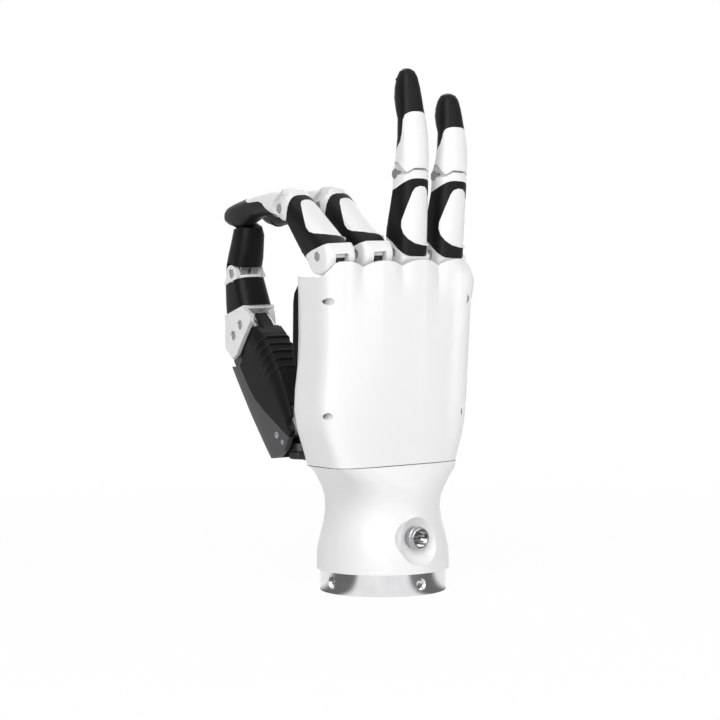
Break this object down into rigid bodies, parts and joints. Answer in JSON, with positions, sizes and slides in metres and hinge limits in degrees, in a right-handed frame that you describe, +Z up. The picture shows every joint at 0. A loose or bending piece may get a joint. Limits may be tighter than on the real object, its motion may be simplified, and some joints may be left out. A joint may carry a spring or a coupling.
{
  "type": "robot hand",
  "caption": "Dexterous right robot hand with coupled finger joints, a swinging linkage-driven thumb, white covers, black skins and a wrist flange.",
  "frame": {"origin": "centre of the wrist flange's lower face, on the axis of its socket", "axes": "+Z up along the fingers, +X towards the little finger, +Y out of the palm side"},
  "size_m": [0.08, 0.0957, 0.226],
  "materials": {
    "white_shell": "semi-gloss moulding",
    "black_skin": "satin soft skin",
    "grey_shell": "satin moulding",
    "dark_frame": "moulded",
    "machined_metal": "bead-blasted, clear anodised",
    "steel": "turned",
    "motor_can": "drawn can",
    "gearbox_brass": "turned",
    "contact_gold": "plated",
    "board_green": "solder mask"
  },
  "bodies": {
    "palm": {"wrist_flange": "machined_metal", "wrist_cuff": "white_shell", "connector_barrel": "steel", "connector_insert": "dark_frame", "connector_pins": "contact_gold", "back_cover": "white_shell", "palm_cover": "white_shell", "palm_pad": "black_skin", "cover_screws": "steel", "palm_frame": "dark_frame", "control_board": "board_green", "finger_motors": "motor_can", "finger_gearboxes": "gearbox_brass", "finger_lead_screws": "steel", "thumb_mount": "dark_frame"},
    "index_proximal": {"index_frame": "white_shell", "index_sleeve": "black_skin", "index_knuckle_pin": "steel", "index_middle_pin": "steel"},
    "index_distal": {"index_tip_frame": "dark_frame", "index_tip_shell": "white_shell", "index_tip_pad": "black_skin"},
    "middle_proximal": {"middle_frame": "white_shell", "middle_sleeve": "black_skin", "middle_knuckle_pin": "steel", "middle_middle_pin": "steel"},
    "middle_distal": {"middle_tip_frame": "dark_frame", "middle_tip_shell": "white_shell", "middle_tip_pad": "black_skin"},
    "ring_proximal": {"ring_frame": "white_shell", "ring_sleeve": "black_skin", "ring_knuckle_pin": "steel", "ring_middle_pin": "steel"},
    "ring_distal": {"ring_tip_frame": "dark_frame", "ring_tip_shell": "white_shell", "ring_tip_pad": "black_skin"},
    "little_proximal": {"little_frame": "white_shell", "little_sleeve": "black_skin", "little_knuckle_pin": "steel", "little_middle_pin": "steel"},
    "little_distal": {"little_tip_frame": "dark_frame", "little_tip_shell": "white_shell", "little_tip_pad": "black_skin"},
    "thumb_swivel_joint": {"thumb_swivel": "machined_metal", "thumb_swivel_pin": "steel"},
    "thumb_root": {"thumb_root_pin": "steel", "thumb_back_shell": "grey_shell", "thumb_front_shell": "black_skin", "thumb_screws": "steel", "thumb_root_frame": "machined_metal", "thumb_motor": "motor_can"},
    "thumb_link": {"thumb_push_link": "machined_metal"},
    "thumb_middle": {"thumb_bracket": "white_shell", "thumb_mid_cover": "black_skin", "thumb_mid_pin": "steel", "thumb_link_pin": "steel", "thumb_last_pin": "steel"},
    "thumb_end": {"thumb_tip_frame": "machined_metal", "thumb_tip_pad": "black_skin"}
  },
  "joints": [
    {"name": "index_knuckle", "type": "hinge", "parent": "palm", "child": "index_proximal", "pos_m": [-0.035, -0.0115, 0.146], "axis": [-0.9997, 0, -0.0227], "range_deg": [-53.5, 0]},
    {"name": "index_middle_joint", "type": "hinge", "parent": "index_proximal", "child": "index_distal", "pos_m": [-0.03546, 0.01583, 0.16622], "axis": [-0.9997, 0, -0.0227], "range_deg": [-38.1, 0]},
    {"name": "middle_knuckle", "type": "hinge", "parent": "palm", "child": "middle_proximal", "pos_m": [-0.015, -0.0115, 0.1466], "axis": [-1, 0, 0], "range_deg": [-53.5, 41.5]},
    {"name": "middle_middle_joint", "type": "hinge", "parent": "middle_proximal", "child": "middle_distal", "pos_m": [-0.015, 0.01583, 0.16682], "axis": [-1, 0, 0], "range_deg": [-38.1, 29.6]},
    {"name": "ring_knuckle", "type": "hinge", "parent": "palm", "child": "ring_proximal", "pos_m": [0.005, -0.0115, 0.1464], "axis": [-0.9995, 0, 0.0332], "range_deg": [0, 95]},
    {"name": "ring_middle_joint", "type": "hinge", "parent": "ring_proximal", "child": "ring_distal", "pos_m": [0.00613, -0.0115, 0.18038], "axis": [-0.9995, 0, 0.0332], "range_deg": [0, 67.5]},
    {"name": "little_knuckle", "type": "hinge", "parent": "palm", "child": "little_proximal", "pos_m": [0.025, -0.0115, 0.1452], "axis": [-0.9978, 0, 0.0663], "range_deg": [0, 90]},
    {"name": "little_middle_joint", "type": "hinge", "parent": "little_proximal", "child": "little_distal", "pos_m": [0.02725, -0.0115, 0.17913], "axis": [-0.9978, 0, 0.0663], "range_deg": [0, 64]},
    {"name": "thumb_swing", "type": "hinge", "parent": "palm", "child": "thumb_swivel_joint", "pos_m": [-0.0325, 0.015, 0.061], "axis": [0, 0, 1], "range_deg": [0, 75]},
    {"name": "thumb_bend", "type": "hinge", "parent": "thumb_swivel_joint", "child": "thumb_root", "pos_m": [-0.0325, 0.015, 0.071], "axis": [1, 0, 0], "range_deg": [-12.7, 0]},
    {"name": "thumb_link_slide", "type": "slide", "parent": "thumb_root", "child": "thumb_link", "axis": [0, 0.6252, 0.7804], "range_m": [-0.0026, 0]},
    {"name": "thumb_middle_joint", "type": "hinge", "parent": "thumb_root", "child": "thumb_middle", "pos_m": [-0.0325, 0.05001, 0.1147], "axis": [1, 0, 0], "range_deg": [-20.4, 0]},
    {"name": "thumb_end_joint", "type": "hinge", "parent": "thumb_middle", "child": "thumb_end", "pos_m": [-0.0325, 0.05762, 0.13705], "axis": [1, 0, 0], "range_deg": [-15.3, 0]}
  ],
  "couplings": [
    {"joint": "index_middle_joint", "follows": "index_knuckle", "ratio": 0.71},
    {"joint": "middle_middle_joint", "follows": "middle_knuckle", "ratio": 0.71},
    {"joint": "ring_middle_joint", "follows": "ring_knuckle", "ratio": 0.71},
    {"joint": "little_middle_joint", "follows": "little_knuckle", "ratio": 0.71},
    {"joint": "thumb_link_slide", "follows": "thumb_bend", "m_per_rad": 0.01119},
    {"joint": "thumb_middle_joint", "follows": "thumb_bend", "ratio": 1.6},
    {"joint": "thumb_end_joint", "follows": "thumb_bend", "ratio": 1.2}
  ]
}
